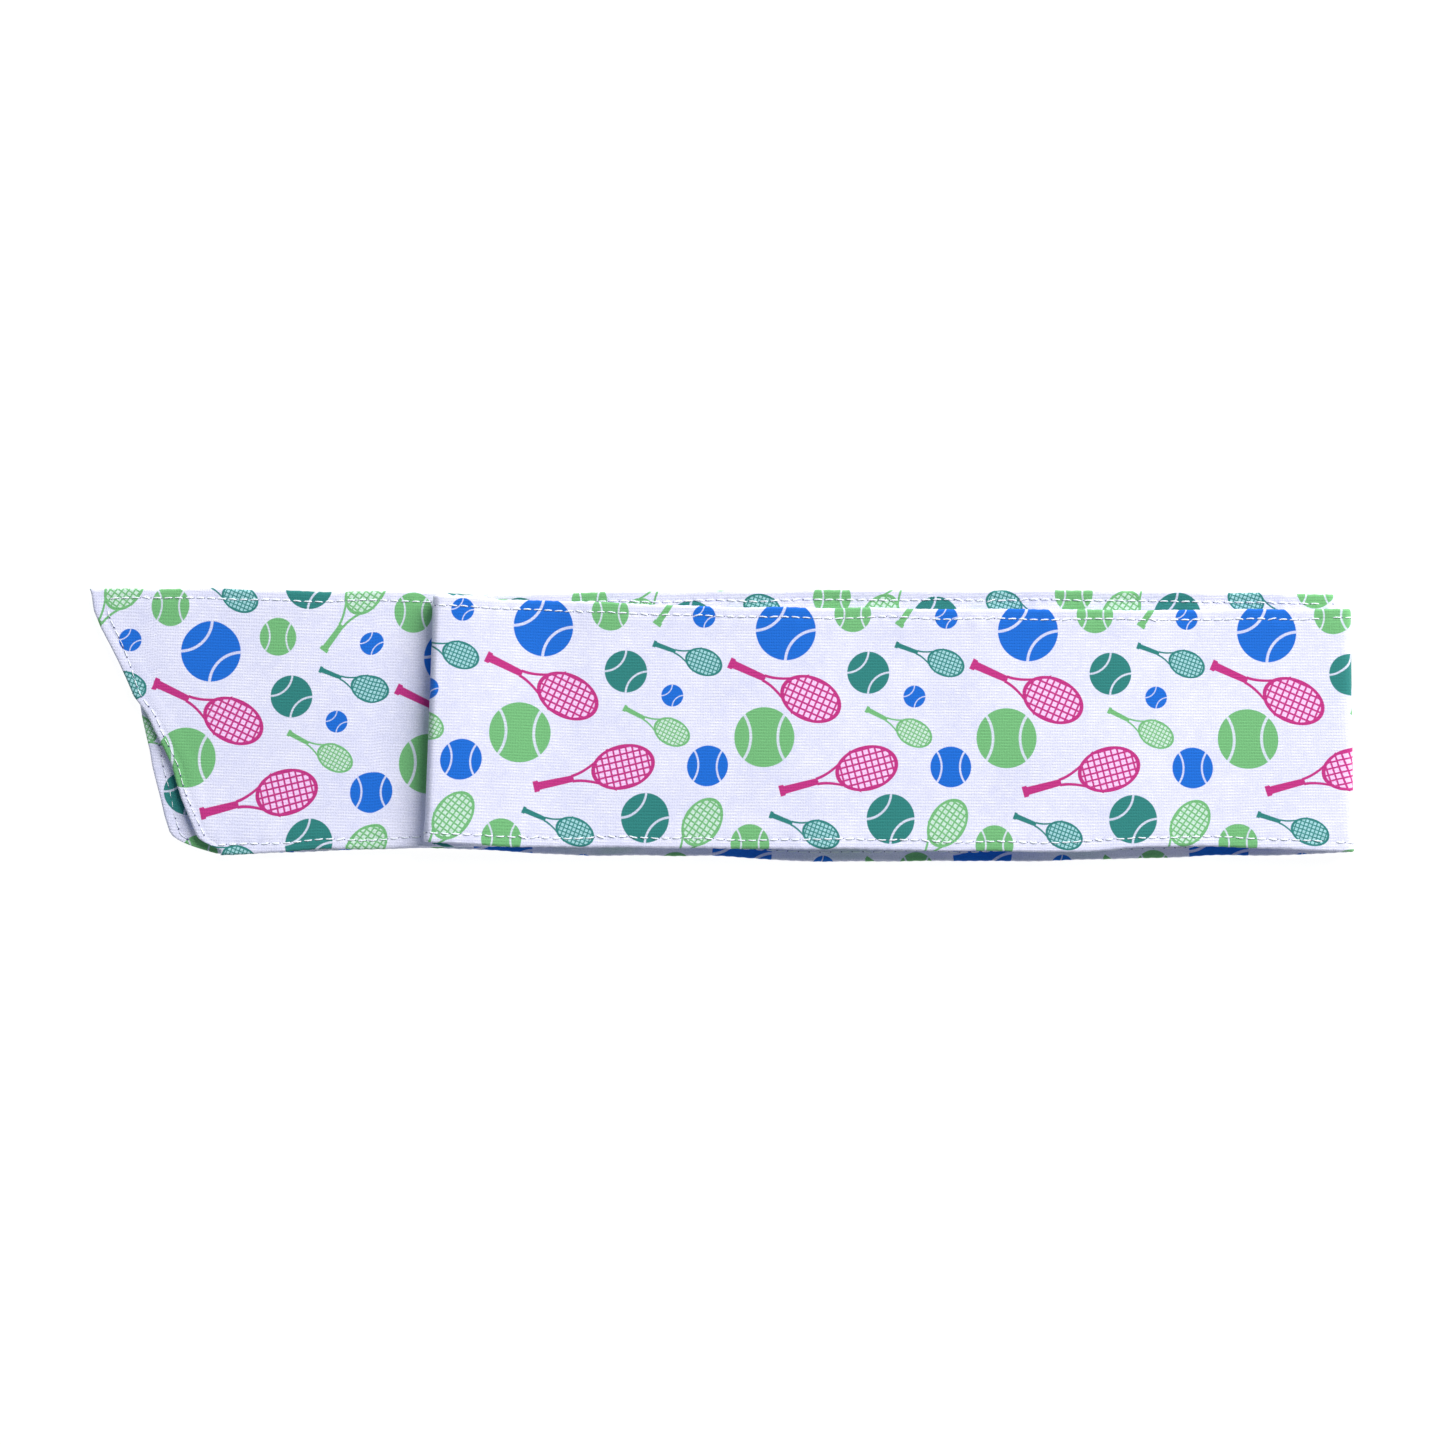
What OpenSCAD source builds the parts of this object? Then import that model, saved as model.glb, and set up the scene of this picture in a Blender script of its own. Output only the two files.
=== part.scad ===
// Sports tie headband, folded in half and in half again.
// One long strip of two sewn plies lies as four flat lengths, one over the other:
//   lower side   bottom length, from the outer fold to the lower tail
//   upper side   second length, from the inner fold to the upper tail
//   brow left    third length, from the inner fold to the centre fold
//   brow right   top length, from the centre fold to the outer fold
// X runs along the strip, Y across it and Z up from the face that rests on the table.
// The origin is the middle of the pack's underside.

/* [Band] */
// Length of the folded pack, from the tip of the upper tail to the outer fold
pack_l = 308.65; // [300:0.05:330]
// Length of the folded brow, from the centre fold to the outer fold
brow_l = 226.35; // [210:0.05:230]
// Nominal width of the strip
band_w = 60; // [50:0.5:75]
// How far the slanted end of the upper tail runs back along the strip
upper_slant = 28; // [10:0.5:34]
// How far the slanted end of the lower tail runs back along the strip
lower_slant = 16; // [10:0.5:34]
// How far the lower tail ends short of the upper tail
tail_step = 5; // [0:0.5:10]
// How far a slanted end swells outward in its middle
end_bulge = 1.3; // [0:0.1:2]

/* [Cloth] */
// Thickness of one sheet of the knitted cloth
cloth_t = 0.3; // [0.2:0.05:0.4]
// Gap between the front ply and the back ply
ply_gap = 0.05; // [0.02:0.01:0.1]
// Width of the turned-in edge of each ply
hem_w = 5; // [4:0.5:10]
// Rise from one length of the folded strip to the next
layer_pitch = 2; // [1.8:0.1:4]

/* [Stitching] */
// Distance from the edge to the topstitching
stitch_in = 2.2; // [1.8:0.1:3]
// Width of the topstitch thread
thread_w = 0.4; // [0.2:0.05:0.6]
// Height of the topstitch thread
thread_t = 0.18; // [0.1:0.02:0.2]
// Distance from the edge to the seam that joins the plies
seam_in = 0.5; // [0.4:0.1:1]
// Width of the seam thread
seam_w = 0.35; // [0.2:0.05:0.5]
// Height of the seam thread
seam_t = 0.28; // [0.1:0.02:0.3]

/* [Hidden] */
$fn = 96;

// Cross-section of the strip: two plies, each a sheet with its edge turned in below it
ply_t = 2 * cloth_t;
strap_t = 2 * ply_t + ply_gap;
half_t = strap_t / 2;
half_w = band_w / 2;

// Channels that the threads lie in, and how far a cut runs past the surface
thread_gap = 0.02;
stitch_channel_w = thread_w + 2 * thread_gap;
stitch_channel_t = thread_t + thread_gap;
stitch_floor = half_t - stitch_channel_t;
seam_channel_w = seam_w + 2 * thread_gap;
seam_channel_t = seam_t / 2 + thread_gap;
cut_past = 1;

// Bend radii at the middle of the strip's thickness
close_bend_r = layer_pitch / 2;
wide_bend_r = 3 * layer_pitch / 2;

// Fold axes and creases along X
right_x = pack_l / 2;
inner_fold_back = 1.9;
outer_axis_x = right_x - wide_bend_r - half_t;
inner_axis_x = outer_axis_x - inner_fold_back;
centre_axis_x = right_x - brow_l + close_bend_r + half_t;
crease_gap = 4;
crease_x = centre_axis_x - close_bend_r - half_t - crease_gap;

// Middle height of each length, counted up from the table
function length_z(n) = half_t + n * layer_pitch;

// How far each edge lies beyond the half width where two lengths meet: [bottom, top]
outer_fold_lie = [0.8, -1.6];
inner_fold_lie = [-2.8, 2.1];
centre_fold_lie = [-1.4, 1.7];
upper_crease_lie = [0, 2];
lower_crease_lie = [0, 1];

// A flat length: [middle z, [left x, right x], bottom lies, top lies, slant of its end], where
// the lies of an edge are those at the left, middle and right
LOWER_TAIL = [
    length_z(0), [-right_x + tail_step, crease_x],
    [2, 1.4, lower_crease_lie[0]], [1.5, 1.4, lower_crease_lie[1]], lower_slant
];
LOWER_SIDE = [
    length_z(0), [crease_x, outer_axis_x],
    [lower_crease_lie[0], 3.7, outer_fold_lie[0]], [lower_crease_lie[1], -1, outer_fold_lie[1]], 0
];
UPPER_TAIL = [
    length_z(1), [-right_x, crease_x],
    [0.4, 0.7, upper_crease_lie[0]], [3.6, 3.2, upper_crease_lie[1]], upper_slant
];
UPPER_SIDE = [
    length_z(1), [crease_x, inner_axis_x],
    [upper_crease_lie[0], -1, inner_fold_lie[0]], [upper_crease_lie[1], 1, inner_fold_lie[1]], 0
];
BROW_LEFT = [
    length_z(2), [centre_axis_x, inner_axis_x],
    [centre_fold_lie[0], -2.6, inner_fold_lie[0]], [centre_fold_lie[1], 3.1, inner_fold_lie[1]], 0
];
BROW_RIGHT = [
    length_z(3), [centre_axis_x, outer_axis_x],
    [centre_fold_lie[0], -0.4, outer_fold_lie[0]], [centre_fold_lie[1], -1.3, outer_fold_lie[1]], 0
];

// A fold: [axis x, axis z, bend radius, [bottom lie, top lie], turn that faces its round side outward]
right_hand = -90;
left_hand = 90;
OUTER_FOLD = [outer_axis_x, (length_z(0) + length_z(3)) / 2, wide_bend_r, outer_fold_lie, right_hand];
INNER_FOLD = [inner_axis_x, (length_z(1) + length_z(2)) / 2, close_bend_r, inner_fold_lie, right_hand];
CENTRE_FOLD = [centre_axis_x, (length_z(2) + length_z(3)) / 2, close_bend_r, centre_fold_lie, left_hand];

// Side of the strip that a ply is on: up or down on a flat length, outside or inside on a fold
up = 1;
down = -1;
outside = 1;
inside = -1;

front_colour = [0.93, 0.93, 0.99];
back_colour = [0.86, 0.88, 0.97];
thread_colour = "white";
seam_colour = "gainsboro";

// Bow through three values, at the left, middle and right of a length
function bow(span, values, x) =
    let (u = (2 * x - span[0] - span[1]) / (span[1] - span[0]))
    values[1] + (values[2] - values[0]) / 2 * u + ((values[0] + values[2]) / 2 - values[1]) * u * u;

function top_y(flat, x) = half_w + bow(flat[1], flat[3], x);
function bottom_y(flat, x) = -half_w - bow(flat[1], flat[2], x);

// Slanted end: x at a height y, moved in along the strip by an inset measured square to the slant
function end_x(flat, y, inset) =
    let (
        top = top_y(flat, flat[1][0]),
        width = top - bottom_y(flat, flat[1][0]),
        t = (top - y) / width,
        swell = flat[4] > 0 ? end_bulge * sin(180 * max(0, min(1, t))) : 0
    )
    flat[1][0] + flat[4] * t - swell + inset * sqrt(1 + pow(flat[4] / width, 2));

// Outline of a flat length, drawn in by an inset at its long edges and its slanted end.
// A straight end is a cut across the strip and stays put; reach runs it on past the cut.
edge_steps = 14;
end_steps = 8;
function outline(flat, inset, reach) =
    let (
        slanted = flat[4] > 0,
        x1 = flat[1][1] + reach,
        top_x0 = slanted ? end_x(flat, top_y(flat, flat[1][0]) - inset, inset) : flat[1][0] - reach,
        bottom_x0 = slanted ? end_x(flat, bottom_y(flat, flat[1][0]) + inset, inset) : flat[1][0] - reach,
        top_y0 = top_y(flat, top_x0) - inset,
        bottom_y0 = bottom_y(flat, bottom_x0) + inset
    )
    concat(
        [for (i = [0 : edge_steps])
            let (x = top_x0 + (x1 - top_x0) * i / edge_steps)
            [x, top_y(flat, x) - inset]],
        [for (i = [0 : edge_steps])
            let (x = x1 + (bottom_x0 - x1) * i / edge_steps)
            [x, bottom_y(flat, x) + inset]],
        [for (i = [1 : 1 : slanted ? end_steps - 1 : 0])
            let (y = bottom_y0 + (top_y0 - bottom_y0) * i / end_steps)
            [end_x(flat, y, inset), y]]
    );

// Ribbon that follows the edges of a flat length and the slant of its end
module rim(flat, inset, width, reach = 0) {
    difference() {
        polygon(outline(flat, inset, reach));
        polygon(outline(flat, inset + width, reach + cut_past));
    }
}

module at_face(side) {
    mirror([0, 0, side == up ? 0 : 1]) children();
}

// One ply of a flat length: a sheet, its turned-in hem, and the channels that the threads lie in
module flat_ply(flat, side) {
    translate([0, 0, flat[0]]) at_face(side) difference() {
        union() {
            translate([0, 0, half_t - cloth_t]) linear_extrude(cloth_t) polygon(outline(flat, 0, 0));
            translate([0, 0, ply_gap / 2]) linear_extrude(cloth_t) rim(flat, 0, hem_w);
        }
        translate([0, 0, stitch_floor])
            linear_extrude(stitch_channel_t + cut_past)
                rim(flat, stitch_in - thread_gap, stitch_channel_w, cut_past);
        linear_extrude(seam_channel_t)
            rim(flat, seam_in - thread_gap, seam_channel_w, cut_past);
    }
}

// Lockstitch: the needle thread shows on the upper face and the bobbin thread on the lower one
module flat_topstitch(flat) {
    translate([0, 0, flat[0]])
        for (side = [up, down])
            at_face(side)
                translate([0, 0, half_t - thread_t])
                    linear_extrude(thread_t)
                        rim(flat, stitch_in, thread_w);
}

// Thread of the seam that joined the plies before the strip was turned right side out
module flat_seam(flat) {
    translate([0, 0, flat[0] - seam_t / 2])
        linear_extrude(seam_t)
            rim(flat, seam_in, seam_w);
}

// Half turn of a section about a fold's axis; the section's x is its radius and its y runs along Y
module half_turn(fold) {
    translate([fold[0], 0, fold[1]])
        rotate([-90, 0, 0])
            rotate([0, 0, fold[4]])
                rotate_extrude(angle = 180)
                    children();
}

// Bar across a fold's section, the same distance in from the bottom edge and from the top edge
module edge_bars(fold, inset, width, r0, r1) {
    bottom = -half_w - fold[3][0] + inset;
    top = half_w + fold[3][1] - inset - width;
    for (y = [bottom, top])
        translate([r0, y])
            square([r1 - r0, width]);
}

// One ply of a fold, outside or inside the bend
module fold_ply(fold, side) {
    bottom = -half_w - fold[3][0];
    width = half_w + fold[3][1] - bottom;
    half_turn(fold) translate([fold[2], 0]) mirror([side == outside ? 0 : 1, 0]) difference() {
        union() {
            translate([half_t - cloth_t, bottom]) square([cloth_t, width]);
            edge_bars(fold, 0, hem_w, ply_gap / 2, half_t - cloth_t);
        }
        edge_bars(fold, stitch_in - thread_gap, stitch_channel_w, stitch_floor, half_t + cut_past);
        edge_bars(fold, seam_in - thread_gap, seam_channel_w, 0, seam_channel_t);
    }
}

module fold_topstitch(fold) {
    for (side = [outside, inside])
        half_turn(fold)
            translate([fold[2], 0])
                mirror([side == outside ? 0 : 1, 0])
                    edge_bars(fold, stitch_in, thread_w, half_t - thread_t, half_t);
}

module fold_seam(fold) {
    half_turn(fold)
        translate([fold[2], 0])
            edge_bars(fold, seam_in, seam_w, -seam_t / 2, seam_t / 2);
}

module lower_tail_front_cloth() { color(front_colour) flat_ply(LOWER_TAIL, down); }
module lower_tail_back_cloth() { color(back_colour) flat_ply(LOWER_TAIL, up); }
module lower_tail_topstitch() { color(thread_colour) flat_topstitch(LOWER_TAIL); }
module lower_tail_seam_thread() { color(seam_colour) flat_seam(LOWER_TAIL); }

module lower_side_front_cloth() { color(front_colour) flat_ply(LOWER_SIDE, down); }
module lower_side_back_cloth() { color(back_colour) flat_ply(LOWER_SIDE, up); }
module lower_side_topstitch() { color(thread_colour) flat_topstitch(LOWER_SIDE); }
module lower_side_seam_thread() { color(seam_colour) flat_seam(LOWER_SIDE); }

module outer_fold_front_cloth() { color(front_colour) fold_ply(OUTER_FOLD, outside); }
module outer_fold_back_cloth() { color(back_colour) fold_ply(OUTER_FOLD, inside); }
module outer_fold_topstitch() { color(thread_colour) fold_topstitch(OUTER_FOLD); }
module outer_fold_seam_thread() { color(seam_colour) fold_seam(OUTER_FOLD); }

module brow_right_front_cloth() { color(front_colour) flat_ply(BROW_RIGHT, up); }
module brow_right_back_cloth() { color(back_colour) flat_ply(BROW_RIGHT, down); }
module brow_right_topstitch() { color(thread_colour) flat_topstitch(BROW_RIGHT); }
module brow_right_seam_thread() { color(seam_colour) flat_seam(BROW_RIGHT); }

module centre_fold_front_cloth() { color(front_colour) fold_ply(CENTRE_FOLD, outside); }
module centre_fold_back_cloth() { color(back_colour) fold_ply(CENTRE_FOLD, inside); }
module centre_fold_topstitch() { color(thread_colour) fold_topstitch(CENTRE_FOLD); }
module centre_fold_seam_thread() { color(seam_colour) fold_seam(CENTRE_FOLD); }

module brow_left_front_cloth() { color(front_colour) flat_ply(BROW_LEFT, down); }
module brow_left_back_cloth() { color(back_colour) flat_ply(BROW_LEFT, up); }
module brow_left_topstitch() { color(thread_colour) flat_topstitch(BROW_LEFT); }
module brow_left_seam_thread() { color(seam_colour) flat_seam(BROW_LEFT); }

module inner_fold_front_cloth() { color(front_colour) fold_ply(INNER_FOLD, inside); }
module inner_fold_back_cloth() { color(back_colour) fold_ply(INNER_FOLD, outside); }
module inner_fold_topstitch() { color(thread_colour) fold_topstitch(INNER_FOLD); }
module inner_fold_seam_thread() { color(seam_colour) fold_seam(INNER_FOLD); }

module upper_side_front_cloth() { color(front_colour) flat_ply(UPPER_SIDE, up); }
module upper_side_back_cloth() { color(back_colour) flat_ply(UPPER_SIDE, down); }
module upper_side_topstitch() { color(thread_colour) flat_topstitch(UPPER_SIDE); }
module upper_side_seam_thread() { color(seam_colour) flat_seam(UPPER_SIDE); }

module upper_tail_front_cloth() { color(front_colour) flat_ply(UPPER_TAIL, up); }
module upper_tail_back_cloth() { color(back_colour) flat_ply(UPPER_TAIL, down); }
module upper_tail_topstitch() { color(thread_colour) flat_topstitch(UPPER_TAIL); }
module upper_tail_seam_thread() { color(seam_colour) flat_seam(UPPER_TAIL); }

lower_tail_front_cloth();
lower_tail_back_cloth();
lower_tail_topstitch();
lower_tail_seam_thread();
lower_side_front_cloth();
lower_side_back_cloth();
lower_side_topstitch();
lower_side_seam_thread();
outer_fold_front_cloth();
outer_fold_back_cloth();
outer_fold_topstitch();
outer_fold_seam_thread();
brow_right_front_cloth();
brow_right_back_cloth();
brow_right_topstitch();
brow_right_seam_thread();
centre_fold_front_cloth();
centre_fold_back_cloth();
centre_fold_topstitch();
centre_fold_seam_thread();
brow_left_front_cloth();
brow_left_back_cloth();
brow_left_topstitch();
brow_left_seam_thread();
inner_fold_front_cloth();
inner_fold_back_cloth();
inner_fold_topstitch();
inner_fold_seam_thread();
upper_side_front_cloth();
upper_side_back_cloth();
upper_side_topstitch();
upper_side_seam_thread();
upper_tail_front_cloth();
upper_tail_back_cloth();
upper_tail_topstitch();
upper_tail_seam_thread();
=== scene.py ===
"""Looks of a folded sports tie headband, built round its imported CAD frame.

The headband is one long strip of two sewn plies. Its path runs from the lower tail, round the outer fold,
along the top, round the centre fold, back, round the inner fold and out to the upper tail. Every cloth
piece, stitch and seam is laid along that path, so they line up from piece to piece.
"""

import math

import bpy
import numpy as np
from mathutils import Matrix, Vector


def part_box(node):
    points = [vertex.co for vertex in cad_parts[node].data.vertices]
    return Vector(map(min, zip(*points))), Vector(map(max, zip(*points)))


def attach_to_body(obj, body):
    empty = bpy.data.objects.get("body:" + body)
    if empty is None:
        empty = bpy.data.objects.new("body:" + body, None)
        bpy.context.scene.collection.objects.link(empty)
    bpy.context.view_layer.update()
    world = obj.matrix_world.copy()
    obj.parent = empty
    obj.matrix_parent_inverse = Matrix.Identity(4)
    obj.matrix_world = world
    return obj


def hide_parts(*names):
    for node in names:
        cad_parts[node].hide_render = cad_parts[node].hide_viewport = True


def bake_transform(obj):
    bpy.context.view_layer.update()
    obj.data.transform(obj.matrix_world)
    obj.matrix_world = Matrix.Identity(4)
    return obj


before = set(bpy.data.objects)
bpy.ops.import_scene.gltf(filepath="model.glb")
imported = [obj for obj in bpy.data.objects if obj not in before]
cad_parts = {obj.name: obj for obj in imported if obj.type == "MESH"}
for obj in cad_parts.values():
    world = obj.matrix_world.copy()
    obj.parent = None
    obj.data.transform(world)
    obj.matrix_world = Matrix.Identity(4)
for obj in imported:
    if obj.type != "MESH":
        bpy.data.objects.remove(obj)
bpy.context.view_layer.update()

MM = 0.001

# Cloth, in mm
SHEET_T = 0.3            # one sheet of cloth
PLY_GAP = 0.03           # half the gap between the plies at the edge
EDGE_ROLL = 0.55         # how far in from the edge the rolled edge reaches full height
HEM_W = 5.0              # turned-in seam allowance
HEM_STEP = 0.08          # how much the cloth sinks past the seam allowance
CROWN = 0.02             # how much higher the cloth stands just inside its rolled edge
FACE_IN = 0.03           # how far the cloth's flat faces lie inside the CAD's
STITCH_DIP = 0.08        # how deep the topstitching is pulled into the cloth
UNEVEN = 0.38            # how much of that comes and goes with the needle holes
GATHER = 0.035           # height of the gathers along the topstitching
HALF_W = 30.0            # half the strip's width
ROW_STEP = 0.6625        # spacing of the mesh's rows along the strip
ENDLESS = 1e4            # stands for the length of a run that is open at one end

# Stitching, in mm
STITCH_IN = 2.4          # from the edge to the middle of the topstitching
STITCH_L = 2.65          # from one needle hole to the next
STITCH_GAP = 0.55        # part of each stitch that is down in the holes
THREAD_R = 0.17
THICKNESS = (0.9, 1.12)  # least and most of it in a stitch, against that radius
SWAY = 0.22              # how far a stitch's ends lie out of line
SLACK = 4.0              # how much further they do in a slack stitch
SLACK_SHARE = 0.10       # share of the stitches that lie slack, at a slant
ROW_WANDER = 0.16        # how far a row of stitches strays along a long edge
END_WANDER = 0.12        # and how far along a slanted end
CORNER_IN = 1.15         # how far from a slanted end the other rows start, against their own inset
END_SHORT = (1.0, 0.4)   # how much short of those rows the end's row stops, at the bottom and the top
SEAM_IN = 0.62           # from the edge to the hidden seam
SEAM_R = 0.13

# How far in from the edge the mesh's columns lie, in mm; the rest of the width is shared out evenly
EDGE_COLUMNS = [0, 0.06, 0.18, 0.36, 0.62, 1.0, 1.45, 1.85, 2.15, 2.4, 2.65, 2.95, 3.4, 4.3, 5.4]
MIDDLE_COLUMNS = 12

# Print, in mm: one tile holds nine balls and six rackets, and repeats both ways
TILE = (59.3, 62.4)
TILE_DROP = 2.1          # how far to the left each row of tiles starts from the row below
PRINT_TURN = math.radians(2.0)      # how far the print is turned on the upper tail

# The lie of the folded strip, in mm
KNOT_STEP = 18           # spacing of the knots that carry the CAD's edges over
SOFTEN = 12              # how far to each side those edges are averaged
EDGE_WAVE = 0.13         # hand-sewn wobble of the long edges
TAIL_WAVE = 0.1          # how much more of it the upper tail has
END_WAVE = 0.25          # wobble of the slanted ends
STITCH_PULL = 0.05       # how far every stitch pulls the edge in
CREST = 0.6              # how far the upper tail's upper edge stands out at its crease
FOLD_LEAN = 1.15         # how far the centre fold leans along the strip at the strip's edges
RIDE_UP = 0.8            # how far the brow's lower edge rides up near the outer fold
RIDE_UP_X = 120
TAIL_SAG = 1.2           # how far the upper tail's lower corner sags
TAIL_DROOP = 0.5         # how far the upper tail's end hangs down
DRAPE_LIFT = 0.13        # slow waves in the height of the cloth that nothing lies on
DIMPLE_LIFT = 0.035      # and quick ones
EDGE_CURL = 0.45         # how far the upper edge of the third length curls up where it shows above the brow
FOLD_LOFT = 2.2          # how much higher than the CAD the brow stands at the centre fold
FOLD_PUFF = (0.45, 0.4)  # how far the outer fold puffs out past the CAD, and how much more at its lower edge
FOLD_SQUARE = 4.2        # how square the outer fold's bend is: 2 would be round

# Where an edge is eased off the CAD's: length, side, from x, to x, how far upwards
EASED = [
    ("top", -1, -50, 85, -1.05),
    ("top", 1, -50, 20, -0.45),
    ("lower", -1, -15, -5, 0.8),
    ("lower", -1, 140, 152, -0.7),
]
EASE_IN = 22             # how far along the strip an eased stretch takes to come and go


# ---- measures taken from the frame

def node_points(node):
    """Vertices of a CAD node at rest, in mm."""
    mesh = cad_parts[node].data
    points = np.zeros(len(mesh.vertices) * 3, np.float32)
    mesh.vertices.foreach_get("co", points)
    return points.reshape(-1, 3).astype(float) / MM


def node_box(node):
    low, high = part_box(node)
    return np.array(low) / MM, np.array(high) / MM


def fold_measures(fold):
    """Axis x, axis z and middle bend radius of a fold, from its outside ply and the strip's thickness."""
    outside = "back_cloth" if fold == "inner_fold" else "front_cloth"
    low, high = node_box(f"{fold}_{outside}")
    axis_x = high[0] if fold == "centre_fold" else low[0]
    return axis_x, (low[2] + high[2]) / 2, (high[2] - low[2]) / 2 - HALF_T


HALF_T = (node_box("lower_side_back_cloth")[1][2] - node_box("lower_side_front_cloth")[0][2]) / 2
CREASE_X = node_box("upper_tail_front_cloth")[1][0]
OUTER = fold_measures("outer_fold")
CENTRE = fold_measures("centre_fold")
INNER = fold_measures("inner_fold")


def edge_at(node, x, top):
    """Y of a flat length's long edge near x: the outermost vertex within reach."""
    points = node_points(node)
    near = points[np.abs(points[:, 0] - x) < KNOT_STEP / 2]
    return near[:, 1].max() if top else near[:, 1].min()


def slanted_end(node):
    """Lower and upper corner of a tail's slanted end, as (x, y)."""
    end_zone = 45.0
    lowest_band = 1.5
    points = node_points(node)
    far = points[points[:, 0] < points[:, 0].min() + end_zone]
    top = far[far[:, 0].argmin()]
    low = far[far[:, 1] < far[:, 1].min() + lowest_band]
    bottom = low[low[:, 0].argmin()]
    return bottom[:2], top[:2]


# ---- path of the strip

def path_parts():
    """The strip's middle line as flat runs and half turns. On the lowest length s equals x."""
    s = OUTER[0]
    z = OUTER[1] - OUTER[2]
    parts = [{"kind": "flat", "s0": -ENDLESS, "s1": s, "x0": 0.0, "s_ref": 0.0, "dir": 1, "z": z}]
    turns = [(OUTER, -1, 1, CENTRE[0]), (CENTRE, 1, -1, INNER[0]), (INNER, 1, 1, None)]
    for (axis_x, axis_z, radius), start_side, out_x, next_x in turns:
        length = math.pi * radius
        parts.append({"kind": "turn", "s0": s, "s1": s + length, "x": axis_x, "zc": axis_z,
                      "r": radius, "from": start_side, "out": out_x})
        s += length
        z = axis_z - start_side * radius
        run = abs(next_x - axis_x) if next_x is not None else ENDLESS
        parts.append({"kind": "flat", "s0": s, "s1": s + run, "x0": axis_x, "s_ref": s,
                      "dir": -out_x, "z": z})
        s += run
    return parts


PARTS = path_parts()
S_OUTER = (PARTS[1]["s0"], PARTS[1]["s1"])
S_CENTRE = (PARTS[3]["s0"], PARTS[3]["s1"])
S_INNER = (PARTS[5]["s0"], PARTS[5]["s1"])
SIDE_S = {"lower": 0, "top": 2, "third": 4, "upper": 6}


def s_at(length, x):
    """Path distance of a point at x on one of the four flat lengths."""
    part = PARTS[SIDE_S[length]]
    return part["s_ref"] + (x - part["x0"]) * part["dir"]


def on_path(s):
    """X, Z, and the front face's normal (X, Z) at path distances s."""
    x = np.zeros_like(s)
    z = np.zeros_like(s)
    nx = np.zeros_like(s)
    nz = np.zeros_like(s)
    for part in PARTS:
        here = (s >= part["s0"]) & (s <= part["s1"])
        if part["kind"] == "flat":
            x[here] = part["x0"] + (s[here] - part["s_ref"]) * part["dir"]
            z[here] = part["z"]
            nx[here] = 0.0
            nz[here] = -part["dir"]
        else:
            a = (s[here] - part["s0"]) / part["r"]
            out = part["out"] * np.sin(a)
            up = part["from"] * np.cos(a)
            power = FOLD_SQUARE if part is PARTS[1] else 2.0
            r = part["r"] * (np.abs(out) ** power + np.abs(up) ** power) ** (-1 / power)
            x[here] = part["x"] + r * out
            z[here] = part["zc"] + r * up
            facing = -1 if part is PARTS[5] else 1
            nx[here] = facing * out
            nz[here] = facing * up
    return x, z, nx, nz


# ---- smooth irregularity

class Ripple:
    """Smooth, repeatable noise: a few sine waves with fixed random lengths and phases."""

    def __init__(self, seed, shortest, longest, waves=7):
        draw = np.random.RandomState(seed)
        self.length = draw.uniform(shortest, longest, waves)
        self.angle = draw.uniform(0, math.pi, waves)
        self.phase = draw.uniform(0, 2 * math.pi, waves)

    def line(self, s):
        total = sum(np.sin(2 * math.pi * s / l + p) for l, p in zip(self.length, self.phase))
        return total / math.sqrt(len(self.length))

    def sheet(self, s, y):
        total = 0
        for l, a, p in zip(self.length, self.angle, self.phase):
            total = total + np.sin(2 * math.pi * (s * math.cos(a) + y * math.sin(a)) / l + p)
        return total / math.sqrt(len(self.length))


DRAPE = Ripple(11, 38, 110)
PUCKER = {1: Ripple(21, 4.2, 11), -1: Ripple(22, 4.2, 11)}
WOBBLE = {1: Ripple(31, 13, 60), -1: Ripple(32, 13, 60)}
WANDER = {1: Ripple(41, 16, 70), -1: Ripple(42, 16, 70)}
DIMPLE = Ripple(51, 7, 26, 10)


def smooth_step(t):
    t = np.clip(t, 0, 1)
    return t * t * (3 - 2 * t)


def between(place, none, whole):
    """0 up to one place, 1 from the other one on, and smooth between them. Either may be the greater."""
    return smooth_step((place - none) / (whole - none))


def ramp(s, length, x_none, x_whole):
    """The same along a length of the strip, with both places as x."""
    return between(s, s_at(length, x_none), s_at(length, x_whole))


def hump(distance, width):
    """1 at a distance of 0, and falling off like a bell."""
    return np.exp(-(distance / width) ** 2)


# ---- edges of the strip

def edge_knots(side):
    """Path distances and heights along the strip's top (side 1) or bottom (side -1) edge, from the CAD."""
    corner = 1 if side > 0 else 0
    spans = [
        ("lower", "lower_tail", slanted_end("lower_tail_front_cloth")[corner][0], CREASE_X),
        ("lower", "lower_side", CREASE_X, OUTER[0]),
        ("top", "brow_right", OUTER[0], CENTRE[0]),
        ("third", "brow_left", CENTRE[0], INNER[0]),
        ("upper", "upper_side", INNER[0], CREASE_X),
        ("upper", "upper_tail", CREASE_X, slanted_end("upper_tail_front_cloth")[corner][0]),
    ]
    knots = []
    for length, node, x0, x1 in spans:
        for x in np.linspace(x0, x1, max(3, int(abs(x1 - x0) / KNOT_STEP))):
            knots.append((s_at(length, x), edge_at(f"{node}_front_cloth", x, side > 0)))
    return np.array(sorted(knots))


EDGES = {side: edge_knots(side) for side in (1, -1)}


def softened(s, side):
    """An edge's knots joined by straight lines and averaged over a short window, so that no corner shows."""
    places, heights = EDGES[side].T
    samples = 9
    window = np.linspace(-SOFTEN, SOFTEN, samples)
    weight = np.hanning(samples + 2)[1:-1]
    total = sum(w * np.interp(s + d, places, heights) for d, w in zip(window, weight))
    return total / weight.sum()


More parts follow.
